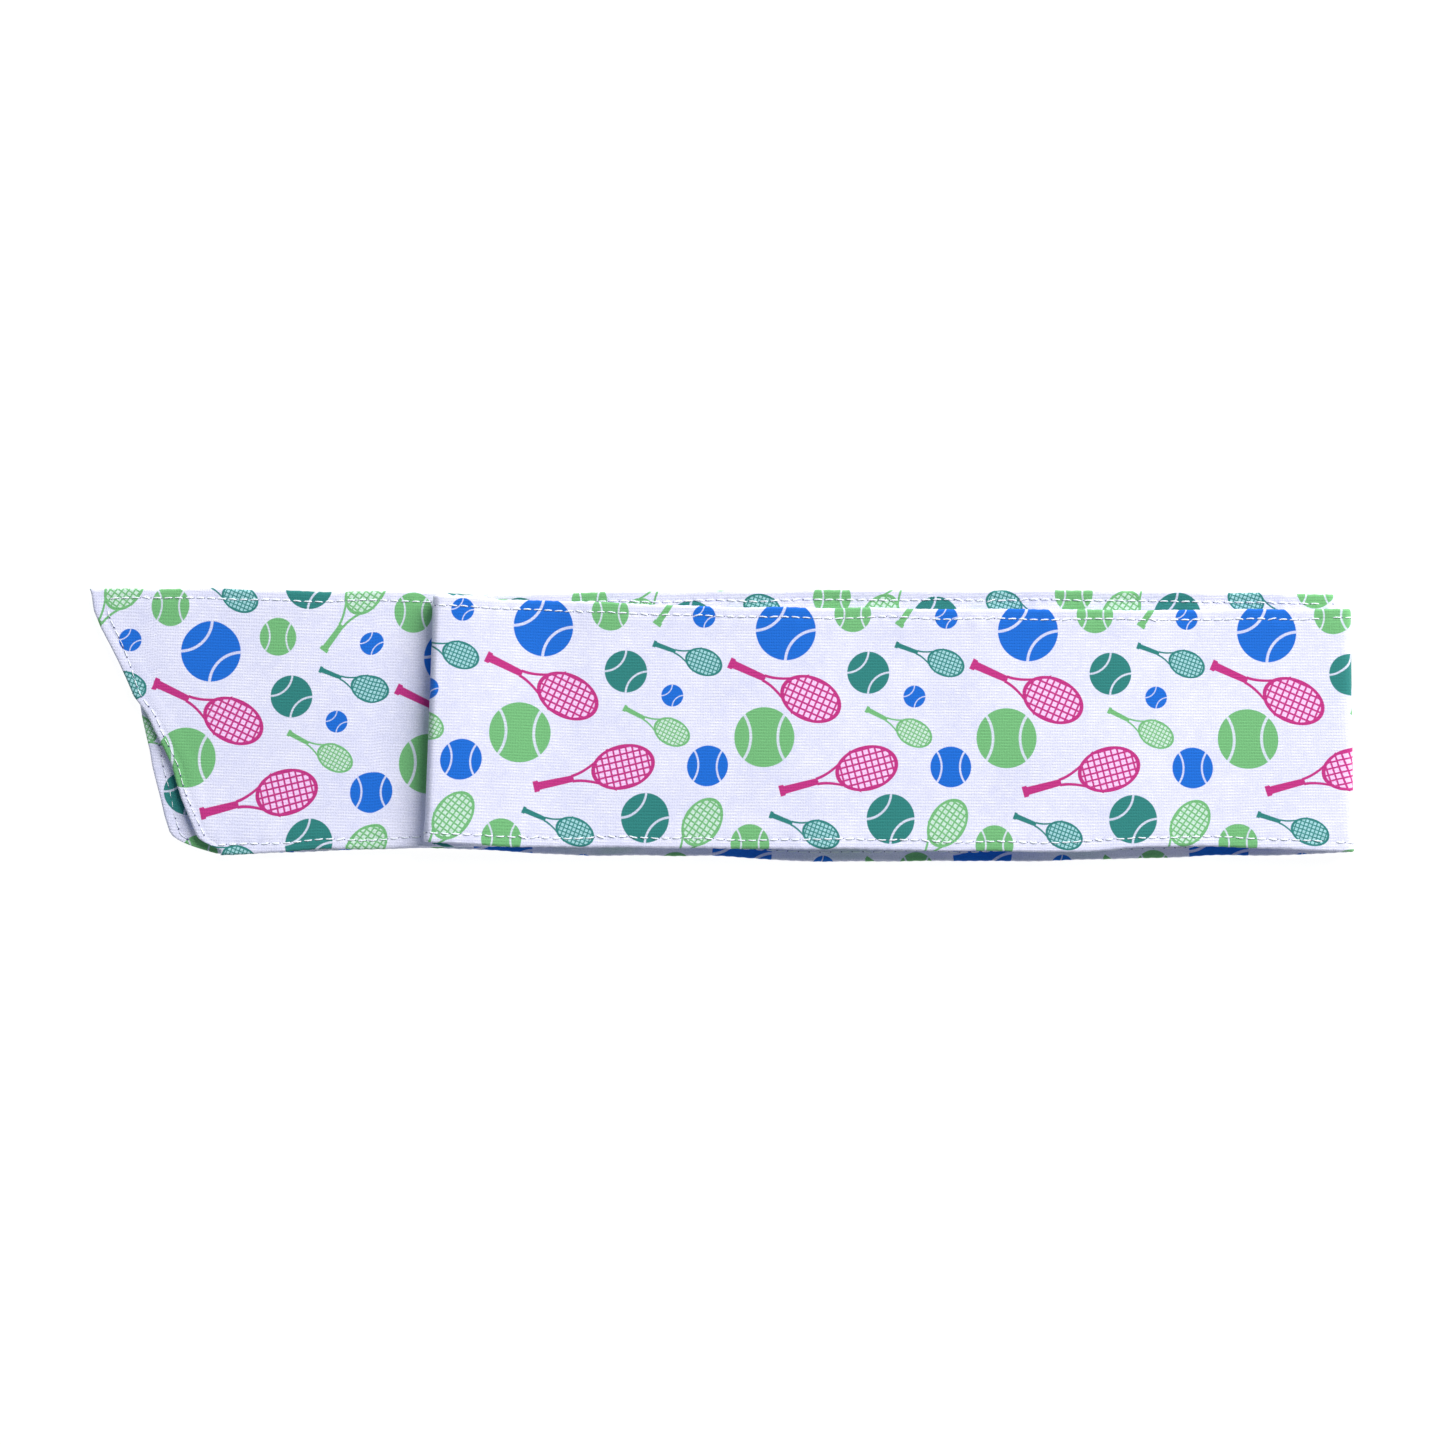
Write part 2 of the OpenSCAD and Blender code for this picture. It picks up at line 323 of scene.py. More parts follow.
def edge_y(s, side):
    """Height of the strip's top (side 1) or bottom (side -1) edge, with a hand-sewn wobble."""
    pulled = STITCH_PULL * np.cos(2 * math.pi * s / STITCH_L)
    on_tail = ramp(s, "upper", CREASE_X, CREASE_X - 20)
    wobble = (EDGE_WAVE + TAIL_WAVE * on_tail) * WOBBLE[side].line(s)
    ridden_up = RIDE_UP * hump(s - s_at("top", RIDE_UP_X), 17) if side < 0 else 0
    crested = CREST * hump(s - s_at("upper", CREASE_X), 12) if side > 0 else -sag(s)
    return softened(s, side) + side * (wobble - pulled - ridden_up) + crested + eased(s, side)


def eased(s, side):
    """How far upwards an edge is eased off the CAD's."""
    total = 0
    for length, eased_side, x0, x1, rise in EASED:
        if eased_side == side:
            first, last = sorted((s_at(length, x0), s_at(length, x1)))
            outside = np.maximum(np.maximum(first - s, s - last), 0)
            total = total + rise * (1 - smooth_step(outside / EASE_IN))
    return total


def sag(s):
    """How far the upper tail's lower edge hangs below the CAD's, towards its corner."""
    return TAIL_SAG * ramp(s, "upper", -96, -113)


def through(knots, place):
    """Smooth curve through a few (place, value) points, level at each of them."""
    places, values = np.array(knots).T
    place = np.clip(place, places[0], places[-1])
    k = np.clip(np.searchsorted(places, place) - 1, 0, len(places) - 2)
    share = smooth_step((place - places[k]) / (places[k + 1] - places[k]))
    return values[k] + (values[k + 1] - values[k]) * share


class Tail:
    """A slanted end. Rows near it run along the slant and turn square across the strip further in."""

    TURN_SQUARE = (8, 60)    # how far in the rows start to turn and are square, in mm
    ROUNDNESS = 1.9          # power of the curve that rounds the lower corner

    def __init__(self, node, length, corner, bulge, stitch_share):
        (x0, self.y0), (x1, self.y1) = slanted_end(node)
        self.s0, self.s1 = s_at(length, x0), s_at(length, x1)
        self.inward = 1 if length == "lower" else -1
        self.corner = corner
        self.bulge = bulge
        self.stitch_share = stitch_share
        self.skew = math.hypot(self.s1 - self.s0, self.y1 - self.y0) / (self.y1 - self.y0)
        self.middle = (self.s0 + self.s1) / 2

    def share(self, y):
        return np.clip((y - self.y0) / (self.y1 - self.y0), 0, 1)

    def end_s(self, y):
        line = self.s0 + (self.s1 - self.s0) * self.share(y)
        reach, rise = self.corner
        corner = reach * np.clip(1 - (y - self.y0) / rise, 0, 1) ** self.ROUNDNESS
        wave = END_WAVE * DIMPLE.line(y * 0.7 + self.s0)
        return line + self.inward * (corner - through(self.bulge, self.share(y)) + wave)

    def row_s(self, inset, y):
        """Path distance of a point on the row that lies this far in from the slanted end."""
        hold = 1 - between(inset, *self.TURN_SQUARE)
        start = self.end_s(y) * hold + self.middle * (1 - hold)
        return start + self.inward * inset * self.skew


# Each tail: reach and rise of its rounded lower corner, how far its end bulges out at shares of its height,
# and how far in its end's stitches lie at those shares, against the stitches along the edges
LOWER_TAIL = Tail("lower_tail_front_cloth", "lower", (11.0, 5.5),
                  [(0, 1.6), (0.25, 1.7), (0.55, 1.0), (1, 0.3)],
                  [(0, 1.1), (1, 1.0)])
UPPER_TAIL = Tail("upper_tail_front_cloth", "upper", (4.2, 3.4),
                  [(0, 1.3), (0.06, 1.6), (0.38, 0.2), (0.5, 0.5),
                   (0.6, 2.0), (0.75, 2.3), (0.88, 2.9), (1, 1.25)],
                  [(0, 0.85), (0.3, 0.55), (0.6, 0.8), (0.9, 1.35), (1, 1.3)])


# ---- shape of the cloth

def cover(d, s, side):
    """Height of a ply's outer face over the middle plane, d in from the nearest edge."""
    t = np.clip(d / EDGE_ROLL, 0, 1)
    height = PLY_GAP + (HALF_T - PLY_GAP - FACE_IN) * np.sqrt(np.clip(1 - (1 - t) ** 2, 0, 1))
    crown = CROWN * hump(d - 1.2, 0.6)
    hem = HEM_STEP * between(d, HEM_W - 0.5, HEM_W + 1.1)
    tight = 1 - UNEVEN + UNEVEN * np.cos(2 * math.pi * s / STITCH_L)
    dip = STITCH_DIP * tight * hump(d - STITCH_IN, 0.5)
    gather = GATHER * PUCKER[side].line(s) * hump(d - 2.6, 2.0)
    return height + between(d, 0, 0.8) * (crown - dip + gather) - hem


def drape(s, y):
    """How far the strip lifts off its flat path: the open brow and upper tail, and the curled edge."""
    brow = ramp(s, "top", OUTER[0] - 6, OUTER[0] - 32) * ramp(s, "top", CENTRE[0] + 6, CENTRE[0] + 26)
    tail = ramp(s, "upper", CREASE_X + 4, CREASE_X - 14)
    lift = (brow + tail) * (DRAPE_LIFT * DRAPE.sheet(s, y) + DIMPLE_LIFT * DIMPLE.sheet(s, y))
    droop = TAIL_DROOP * tail * between(UPPER_TAIL.middle - s, 14, -12)
    third = ramp(s, "third", CENTRE[0] + 3, CENTRE[0] + 15) * ramp(s, "third", INNER[0] - 3, INNER[0] - 15)
    curl = EDGE_CURL * third * between(y, 29, 34)
    return lift - droop - curl


def lean(s, y):
    """How far the centre and outer folds, which aren't quite square, are drawn along the pack."""
    near_centre = between(np.abs(s - sum(S_CENTRE) / 2), 44, 4)
    near_outer = between(np.abs(s - sum(S_OUTER) / 2), 34, 4)
    return FOLD_LEAN * near_centre * y / HALF_W + (FOLD_PUFF[0] - FOLD_PUFF[1] * y / HALF_W) * near_outer


def loft(s):
    """How far the brow and the upper half of the centre fold stand above the CAD. A soft fold puffs up."""
    return FOLD_LOFT * ramp(s, "top", -38, -74) * between(s, S_CENTRE[1], S_CENTRE[0])


def lay(s, y, height):
    """Points in metres at path distance s, height y across the strip and this far towards the front face."""
    x, z, nx, nz = on_path(s)
    reach = height + drape(s, y)
    resting = np.maximum(z + nz * reach + loft(s), 0)
    return np.stack([x + nx * reach + lean(s, y), y, resting], axis=-1) * MM


def columns(bottom, top):
    """Heights across the strip, close together along both edges."""
    inset = np.array(EDGE_COLUMNS)
    spread = np.linspace(0, 1, MIDDLE_COLUMNS + 2)[1:-1]
    low = bottom[:, None] + inset[None, :]
    high = top[:, None] - inset[None, ::-1]
    middle = low[:, -1:] + (high[:, :1] - low[:, -1:]) * spread[None, :]
    return np.concatenate([low, middle, high], axis=1)


def sheet_grid(run):
    """Path distance, height and distance from the nearest edge for every mesh point of a run."""
    s_from, s_to, tail = run
    if tail is None:
        rows = max(4, int(round((s_to - s_from) / ROW_STEP)))
        s_row = np.linspace(s_from, s_to, rows + 1)
        y = columns(edge_y(s_row, -1), edge_y(s_row, 1))
        s = np.repeat(s_row[:, None], y.shape[1], axis=1)
        end_inset = np.full_like(s, ENDLESS)
    else:
        depth = (s_to - s_from) / tail.skew
        regular = np.arange(EDGE_COLUMNS[-1] + 0.6, depth, ROW_STEP)
        inset = np.concatenate([EDGE_COLUMNS, regular, [depth]])
        guess_top = tail.row_s(inset, np.full_like(inset, tail.y1))
        guess_bottom = tail.row_s(inset, np.full_like(inset, tail.y0))
        y = columns(edge_y(guess_bottom, -1), edge_y(guess_top, 1))
        s = tail.row_s(inset[:, None], y)
        end_inset = np.repeat(inset[:, None], y.shape[1], axis=1)
        if tail.inward < 0:
            s, y, end_inset = s[::-1], y[::-1], end_inset[::-1]
    from_bottom = y - y[:, :1]
    from_top = y[:, -1:] - y
    side = np.where(from_bottom < from_top, -1, 1)
    return s, y, np.minimum(np.minimum(from_bottom, from_top), end_inset), side


# ---- how the print lies

# How the print lies on the front (1) and the back (-1), as straight lines through places on the strip. Each
# place is a length and an x on it, followed by the x or the y where a tile starts there.
TILE_X = {
    1: [("top", CENTRE[0], -43.7), ("upper", INNER[0], -125.7)],
    -1: [("lower", -132, 6.4), ("lower", -100, 6.0), ("lower", -20, 4.9), ("lower", 65, 4.9),
         ("lower", 122, 3.6), ("lower", OUTER[0], 3.6), ("third", CENTRE[0], 18.75),
         ("third", -40, 18.75), ("third", -22, 18.05), ("third", -3, 18.05), ("third", 8, 18.75)],
}
TILE_Y = {
    1: [("top", CENTRE[0], 24.4), ("upper", INNER[0], 18.0)],
    -1: [("lower", -144, -25.8), ("lower", -132, -27.3), ("lower", -100, -29.5), ("lower", -20, -31.7),
         ("lower", 65, -31.7), ("lower", 122, -31.0), ("lower", OUTER[0], -31.0),
         ("third", CENTRE[0], -22.2), ("third", INNER[0], -18.6)],
}
# The hidden stretch over which the print runs on to another tile, and how many tiles off it is at both ends
HIDDEN = {1: (S_CENTRE[0], S_INNER[1], 0, -9), -1: (S_OUTER[0], S_CENTRE[1], 8, 0)}

# How far pulled cloth takes the front print along and across the strip, in mm, and the ramps that say where:
# a length with an x where there is no pull and an x where it is whole, and two such heights
ON_TOP = ("third", CENTRE[0] + 80, CENTRE[0])
ON_UPPER = ("upper", INNER[0], INNER[0] - 80)
PULLS = [
    (0.8, 1.8, [("top", -15, -75), ON_TOP], None),          # to the centre fold
    (0.0, -1.1, [ON_TOP], None),                            # all along the brow
    (0.5, 0.0, [("top", 90, 150)], None),                   # to the outer fold
    (-0.5, 0.0, [("upper", -92, -78), ON_UPPER], None),     # under the centre fold
    (0.0, 0.5, [("upper", -87, -83), ON_UPPER], None),      # the same, across the strip
    (0.0, -1.1, [("upper", -139.7, -141.3)], None),         # at the tail's upper corner
    (0.0, 0.8, [("top", 115, 145)], (-5, -20)),             # at the brow's lower right corner
    (0.0, -0.5, [("top", 110, 80), ON_TOP], (-19, -28)),    # at the brow's lower edge
    (0.0, 0.6, [("upper", -60, -75)], (24, 29)),            # at the tail's upper edge
]
OUTER_TURN = 0.03        # how fast the print shifts along with height at the outer fold, as a slope
LOW_TURN = 0.05          # and low on the brow's left half
BROW_SLOPE = 0.7         # how much lower the print lies at the brow's right end than at its middle, in mm


def front_creep(s, y):
    """How far pulls and sag have moved the front print along and across the strip."""
    sloping = np.interp(s, [s_at("top", 150), s_at("top", -10)], [1, 0])
    low_half = ramp(s, "top", 45, -15) * ramp(s, *ON_TOP)
    along = OUTER_TURN * y * ramp(s, "top", 90, 150) + LOW_TURN * np.clip(-4 - y, 0, 17) * low_half
    across = -BROW_SLOPE * sloping - sag(s) * between(y, -14, -31)
    for pull_along, pull_across, ramps, heights in PULLS:
        share = between(y, *heights) if heights else 1
        for place in ramps:
            share = share * ramp(s, *place)
        along = along + pull_along * share
        across = across + pull_across * share
    return along, across


def print_place(face, s, y):
    """Point on the print at a point of the strip. It creeps and turns a little over the hidden lengths."""
    knots_x = [(s_at(length, x), s_at(length, start)) for length, x, start in TILE_X[face]]
    knots_y = [(s_at(length, x), start) for length, x, start in TILE_Y[face]]
    along = np.interp(s, *np.transpose(knots_x))
    across = np.interp(s, *np.transpose(knots_y))
    s_from, s_to, tiles_from, tiles_to = HIDDEN[face]
    repeats = TILE[0] * np.interp(s, [s_from, s_to], [tiles_from, tiles_to])
    turn = 0.0
    if face > 0:
        crept_along, crept_across = front_creep(s, y)
        along = along + crept_along
        across = across + crept_across
        turn = np.interp(s, [s_from, s_to], [0, PRINT_TURN])
    du, dv = along - s, face * (y - across)
    return repeats + du * np.cos(turn) - dv * np.sin(turn), du * np.sin(turn) + dv * np.cos(turn)


# ---- meshes

def add_object(name, data):
    obj = bpy.data.objects.new(name, data)
    bpy.context.scene.collection.objects.link(obj)
    return obj


def new_object(name, verts, faces, materials, flat_faces=0):
    """A smooth mesh object, apart from the last few faces, which stay flat."""
    mesh = bpy.data.meshes.new(name)
    mesh.from_pydata([tuple(v) for v in verts], [], faces)
    for material in materials:
        mesh.materials.append(material)
    smooth = len(mesh.polygons) - flat_faces
    mesh.polygons.foreach_set("use_smooth", [True] * smooth + [False] * flat_faces)
    mesh.update()
    return add_object(name, mesh)


def ply(name, run, face, material):
    """One ply of a run as a closed sheet: outer face, rolled edges, turned-in hem and inner face."""
    s, y, d, side = sheet_grid(run)
    outer = np.where(side > 0, cover(d, s, 1), cover(d, s, -1))
    hem_end = smooth_step((d - HEM_W) / 0.8)
    inner = np.minimum(PLY_GAP * 0.4 + SHEET_T * hem_end, outer - 0.02)
    rows, cols = s.shape
    verts = np.concatenate([lay(s, y, face * outer), lay(s, y, face * inner)], axis=1)
    u, v = (np.concatenate([part, part], axis=1) for part in print_place(face, s, y))
    own_rows = list(range(rows)) + [0, rows - 1]     # the end caps have vertices of their own
    ring = 2 * cols
    order = list(range(cols)) + [cols + c for c in reversed(range(cols))]
    faces = []
    for r in range(rows - 1):
        for k in range(ring):
            a, b = order[k], order[(k + 1) % ring]
            quad = (r * ring + a, r * ring + b, (r + 1) * ring + b, (r + 1) * ring + a)
            faces.append(quad if face > 0 else quad[::-1])
    for r, flip in ((rows, False), (rows + 1, True)):
        for c in range(cols - 1):
            quad = (r * ring + c, r * ring + cols + c, r * ring + cols + c + 1, r * ring + c + 1)
            faces.append(quad if flip != (face > 0) else quad[::-1])
    obj = new_object(name, verts[own_rows].reshape(-1, 3), faces, [material], flat_faces=2 * (cols - 1))
    add_uv(obj.data, u[own_rows].ravel(), v[own_rows].ravel())
    return obj


def add_uv(mesh, u, v):
    layer = mesh.uv_layers.new(name="strip_mm")
    loops = np.zeros(len(mesh.loops), np.int32)
    mesh.loops.foreach_get("vertex_index", loops)
    layer.data.foreach_set("uv", np.stack([u[loops], v[loops]], axis=-1).ravel())


def bead(points, radii, around):
    """Rings of a round thread through points, closed at both ends. Points are in metres."""
    ahead = np.gradient(points, axis=0)
    ahead /= np.linalg.norm(ahead, axis=1)[:, None]
    upright = abs(ahead[len(ahead) // 2][2]) >= 0.8
    across = np.cross(ahead, (0.0, 1.0, 0.0) if upright else (0.0, 0.0, 1.0))
    across /= np.linalg.norm(across, axis=1)[:, None]
    up = np.cross(across, ahead)
    turn = np.linspace(0, 2 * math.pi, around, endpoint=False)
    verts = [points[i] + radii[i] * MM * (math.cos(a) * across[i] + math.sin(a) * up[i])
             for i in range(len(points)) for a in turn]
    faces = []
    for i in range(len(points) - 1):
        for k in range(around):
            n = (k + 1) % around
            faces.append((i * around + k, i * around + n, (i + 1) * around + n, (i + 1) * around + k))
    faces.append(tuple(reversed(range(around))))
    last = (len(points) - 1) * around
    faces.append(tuple(last + k for k in range(around)))
    return verts, faces


# Along one stitch, as shares of its length: height over the cloth in mm, and thickness against the thread's
STITCH_STATIONS = np.array([0.0, 0.06, 0.2, 0.5, 0.8, 0.94, 1.0])
STITCH_LIFT = np.array([-0.18, -0.06, 0.04, 0.07, 0.04, -0.06, -0.18])
STITCH_RADII = np.array([0.6, 0.85, 1.0, 1.0, 1.0, 0.85, 0.6])

# Along one needle hole, as shares of the gap between stitches, with radii and depths in mm. Each hole is a
# small dark bead of painted shade, for the shadow down in the hole
HOLE_STATIONS = np.array([-0.5, -0.2, 0.2, 0.5])
HOLE_RADII = np.array([0.06, 0.15, 0.15, 0.06])
HOLE_DEPTHS = np.array([0.12, 0.04, 0.04, 0.12])

# The stitches of a slanted end are pulled tight: thickness, and width of the hole's bead of painted shade,
# against the others
END_THREAD = 0.52
END_HOLE = 1.3


def edge_rows(run, inset):
    """Rows of stitches along a run's long edges, and its slanted end if it has one: side, holes, tail."""
    s_from, s_to, tail = run
    lines = []
    for side in (1, -1):
        start, stop = s_from, s_to
        if tail is not None:
            corner_y = tail.y1 if side > 0 else tail.y0
            corner_inset = np.array([inset * CORNER_IN])
            corner = float(tail.row_s(corner_inset, np.array([corner_y - side * inset]))[0])
            start, stop = (corner, s_to) if tail.inward > 0 else (s_from, corner)
        s = np.arange(math.ceil(start / STITCH_L) * STITCH_L, stop + 1e-6, STITCH_L)
        lines.append((side, s, None))
    if tail is not None:
        low, high = tail.y0 + inset + END_SHORT[0], tail.y1 - inset - END_SHORT[1]
        y = np.arange(low, high, STITCH_L / tail.skew)
        lines.append((1, y, tail))
    return lines


def thread_points(line, index, share, inset, jitter):
    """Points along one stitch of a row, as path distance, height and distance in from the edge."""
    side, values, tail = line
    a, b = values[index], values[index + 1]
    margin = STITCH_GAP / 2 / STITCH_L
    along = a + (b - a) * (margin + (1 - 2 * margin) * share)
    sway = jitter * (share - 0.5)
    if tail is None:
        d = inset + ROW_WANDER * WANDER[side].line(along) + sway
        return along, edge_y(along, side) - side * d, d
    own_inset = inset * through(tail.stitch_share, tail.share(along))
    d = own_inset + END_WANDER * WANDER[1].line(along) + sway
    return tail.row_s(d, along), along, d


def add_bead(verts, faces, points, radii, around, clear):
    """Adds a round thread to a mesh in the making, with its middle at least this far above the table."""
    points[:, 2] = np.maximum(points[:, 2], clear * MM)
    more, quads = bead(points, radii, around)
    faces.extend(tuple(len(verts) + k for k in quad) for quad in quads)
    verts.extend(more)


def stitch_row(run, face, inset, radius, lift, height_of, seed):
    """Every stitch of a run on one face and, if the stitches have any lift, dark beads of painted shade in
    the needle holes between them.
    """
    draw = np.random.RandomState(seed)
    verts, faces, hole_shade_faces = [], [], []
    for line in edge_rows(run, inset):
        side, holes, tail = line
        thin, wide = (1.0, 1.0) if tail is None else (END_THREAD, END_HOLE)
        for i in range(len(holes) - 1):
            slack = SLACK if draw.uniform() < SLACK_SHARE else 1.0
            jitter = slack * draw.uniform(-SWAY, SWAY)
            thick = radius * draw.uniform(*THICKNESS) * thin
            s, y, d = thread_points(line, i, STITCH_STATIONS, inset, jitter)
            points = lay(s, y, face * (height_of(d, s, side) + lift))
            add_bead(verts, faces, points, STITCH_RADII * thick, 8, thick)
            if lift.any():
                # Each needle hole: a dark bead of painted shade, sunk into the cloth between two stitches
                s, y, d = thread_points(line, i, HOLE_STATIONS * (STITCH_GAP / STITCH_L), inset, 0.0)
                points = lay(s, y, face * (height_of(d, s, side) - HOLE_DEPTHS))
                add_bead(verts, hole_shade_faces, points, HOLE_RADII * wide, 6, HOLE_RADII * wide)
    return verts, faces, hole_shade_faces


def topstitch(name, run, thread, hole_shade, seed):
    verts, faces, slots = [], [], []
    for face in (1, -1):
        more, quads, holes = stitch_row(run, face, STITCH_IN, THREAD_R, STITCH_LIFT, cover, seed + face)
        base = len(verts)
        faces += [tuple(base + k for k in q) for q in quads + holes]
        slots += [0] * len(quads) + [1] * len(holes)
        verts += more
    obj = new_object(name, verts, faces, [thread, hole_shade])
    obj.data.polygons.foreach_set("material_index", slots)
    return obj


def seam(name, run, thread, seed):
    """The hidden seam at the very edge, between the plies."""
    flat = np.zeros_like(STITCH_LIFT)
    verts, faces, _ = stitch_row(run, 1, SEAM_IN, SEAM_R, flat, lambda d, s, side: np.zeros_like(d), seed)
    return new_object(name, verts, faces, [thread])


# ---- materials

def linear(*srgb):
    """Colour from 0 to 255 sRGB values."""
    c = np.array(srgb, float) / 255
    return tuple(np.where(c <= 0.04045, c / 12.92, ((c + 0.055) / 1.055) ** 2.4)) + (1.0,)


RIB = 0.74               # spacing of the knit's ribs, in mm
LOOP = 0.62              # length of one loop of a rib, in mm
GRAIN = (0.75, 0.595)    # how strongly the fibres show in the cloth's tone, and the tone without them

# Noises in the cloth: scale in cycles per mm, detail, roughness
FIBRE = (2.8, 3.0, 0.7)
MOTTLE = (0.42, 4.0, 0.6)
CLOUD = (0.075, 2.0, 0.5)

WHITE = linear(241, 238, 255)
LAVENDER = linear(223, 222, 247)
INK = {
    "blue": linear(18, 108, 212),
    "green": linear(119, 188, 122),
    "teal": linear(44, 130, 124),
    "pink": linear(199, 48, 130),
}

# A ball's seams, like two brackets back to back: turn in degrees, reach and bend in radii
UPRIGHT = (0.0, 1.80, 1.35)
SLANTED = (45.0, 1.50, 1.075)

# Balls: ink, centre in the tile, radius, kind of seam
BALLS = [
    ("blue", (0.0, 0.0), 7.35, SLANTED),
    ("green", (-10.3, 10.55), 4.66, UPRIGHT),
    ("green", (16.4, 4.1), 4.5, UPRIGHT),
    ("teal", (25.7, -45.85), 5.85, SLANTED),
    ("teal", (20.2, -10.3), 5.15, SLANTED),
    ("blue", (39.3, 3.3), 2.8, SLANTED),
    ("blue", (31.5, -16.1), 2.7, SLANTED),
    ("green", (-5.25, -26.2), 7.35, UPRIGHT),
    ("blue", (40.4, -33.3), 5.0, UPRIGHT),
]

# Cloth between a racket's strings, tinted by thin ink
WASH = {
    "pink": linear(255, 209, 250),
    "teal": linear(168, 218, 221),
    "green": linear(210, 235, 218),
}

# Rackets: ink, end of the handle, middle of the head, half length of the head
RACKETS = [
    ("pink", (-13.5, -8.1), (6.1, -16.8), 7.8),
    ("pink", (0.0, -39.1), (19.85, -33.7), 7.8),
    ("teal", (27.2, -3.45), (39.2, -7.85), 4.7),
    ("teal", (-3.3, -45.0), (8.85, -49.6), 4.7),
    ("green", (19.7, -19.2), (31.4, -25.05), 4.7),
    ("green", (29.2, -61.95), (39.6, -46.8), 6.25),
]


class Tree:
    """Adds nodes to a node tree. Every call returns the new node's first output."""

    def __init__(self, tree):
        self.tree = tree

    def link(self, output, socket):
        self.tree.links.new(output, socket)

    def add(self, kind, inputs=(), **settings):
        node = self.tree.nodes.new(kind)
        for key, value in settings.items():
            setattr(node, key, value)
        for key, value in dict(inputs).items():
            if isinstance(value, bpy.types.NodeSocket):
                self.link(value, node.inputs[key])
            else:
                node.inputs[key].default_value = value
        return node

    def math(self, operation, *values, clamp=False):
        node = self.add("ShaderNodeMath", enumerate(values), operation=operation, use_clamp=clamp)
        return node.outputs[0]

    def vector(self, operation, *values):
        node = self.add("ShaderNodeVectorMath", enumerate(values), operation=operation)
        return node.outputs["Value" if operation == "LENGTH" else "Vector"]

    def split(self, vector):
        return self.add("ShaderNodeSeparateXYZ", {0: vector}).outputs[:2]

    def join(self, x, y):
        return self.add("ShaderNodeCombineXYZ", {0: x, 1: y}).outputs[0]

    def noise(self, place, scale, detail, roughness):
        settings = {"Vector": place, "Scale": scale, "Detail": detail, "Roughness": roughness}
        return self.add("ShaderNodeTexNoise", settings).outputs[0]

    def inside(self, room, sharp):
        """1 where room is above 0, with an edge that is 1 / sharp wide."""
        return self.math("MULTIPLY_ADD", room, sharp, 0.5, clamp=True)

    def mix(self, share, a, b, mode="MIX"):
        node = self.add("ShaderNodeMix", {0: share, 6: a, 7: b}, data_type="RGBA", blend_type=mode)
        return node.outputs[2]

    def toned(self, colour, tone):
        """A colour multiplied by a tone."""
        grey = self.add("ShaderNodeCombineColor", {0: tone, 1: tone, 2: tone}).outputs[0]
        return self.mix(1.0, colour, grey, "MULTIPLY")

    def bump(self, height, depth):
        """A normal for relief of this depth, in m."""
        node = self.add("ShaderNodeBump", {"Height": height, "Strength": 0.5, "Distance": depth})
        return node.outputs[0]


def group(name, inputs, outputs):
    """A node group with float inputs, except that a tuple default makes a vector."""
    tree = bpy.data.node_groups.new(name, "ShaderNodeTree")
    for label, default in inputs:
        kind = "NodeSocketVector" if isinstance(default, tuple) else "NodeSocketFloat"
        socket = tree.interface.new_socket(label, in_out="INPUT", socket_type=kind)
        socket.default_value = default
    for label in outputs:
        tree.interface.new_socket(label, in_out="OUTPUT", socket_type="NodeSocketFloat")
    given = tree.nodes.new("NodeGroupInput").outputs
    result = tree.nodes.new("NodeGroupOutput").inputs
    return tree, Tree(tree), given, result


def motif_point(t, given):
    """The point seen from the motif's centre, wrapped to the tile and turned to the motif's own axis."""
    x, y = t.split(t.vector("SUBTRACT", given["Point"], given["Centre"]))
    row = t.math("ROUND", t.math("DIVIDE", y, TILE[1]))
    away = t.join(t.math("MULTIPLY_ADD", row, TILE_DROP, x), y)
    half = (TILE[0] / 2, TILE[1] / 2, 1.0)
    wrapped = t.vector("WRAP", away, half, tuple(-h for h in half))
    turned = t.add("ShaderNodeVectorRotate", {"Vector": wrapped, "Angle": given["Turn"]},
                   rotation_type="Z_AXIS")
    scale = t.math("DIVIDE", 1.0, given["Size"])
    node = t.add("ShaderNodeVectorMath", {0: turned.outputs[0], "Scale": scale}, operation="SCALE")
    return node.outputs[0]


EDGE_SOFT = 0.16         # how wide the ink bleeds at an edge, in mm
SEAM_HALF = 0.045        # half width of a ball's seam, in radii
SEAM_BARE = 0.84         # how much of the ink a seam leaves out


def ball_group():
    inputs = [("Point", (0.0, 0.0, 0.0)), ("Centre", (0.0, 0.0, 0.0)), ("Size", 5.0), ("Turn", 0.0),
              ("Reach", 1.8), ("Bend", 1.35)]
    tree, t, given, result = group("ball_print", inputs, ["Ink"])
    point = motif_point(t, given)
    sharp = t.math("DIVIDE", given["Size"], EDGE_SOFT)
    disc = t.inside(t.math("SUBTRACT", 1.0, t.vector("LENGTH", point)), sharp)
    x, y = t.split(point)
    from_seam = t.join(t.math("SUBTRACT", t.math("ABSOLUTE", x), given["Reach"]), y)
    off_line = t.math("ABSOLUTE", t.math("SUBTRACT", t.vector("LENGTH", from_seam), given["Bend"]))
    seam_line = t.inside(t.math("SUBTRACT", SEAM_HALF, off_line), sharp)
    kept = t.math("MULTIPLY_ADD", seam_line, -SEAM_BARE, 1.0)
    t.link(t.math("MULTIPLY", disc, kept), result["Ink"])
    return tree


# Racket measures, in half lengths of its head
HEAD_RATIO = 0.70                           # width of the head against its length
RIM = (0.94, 0.062)                         # middle and half width
STRING = (0.0998, 0.030)                    # half spacing and half width
ARM_HALF = 0.045                            # half width of the two arms of the throat
THROAT = (-1.62, 1.27, 0.085, 0.565, 1.7)   # start, length, half spread at the start, its growth and power
HANDLE = (-2.80, -1.56, 0.105, 0.022)       # ends, half width at the throat and how fast it grows
BUTT = (-2.64, 0.045)                       # where the butt flares and by how much


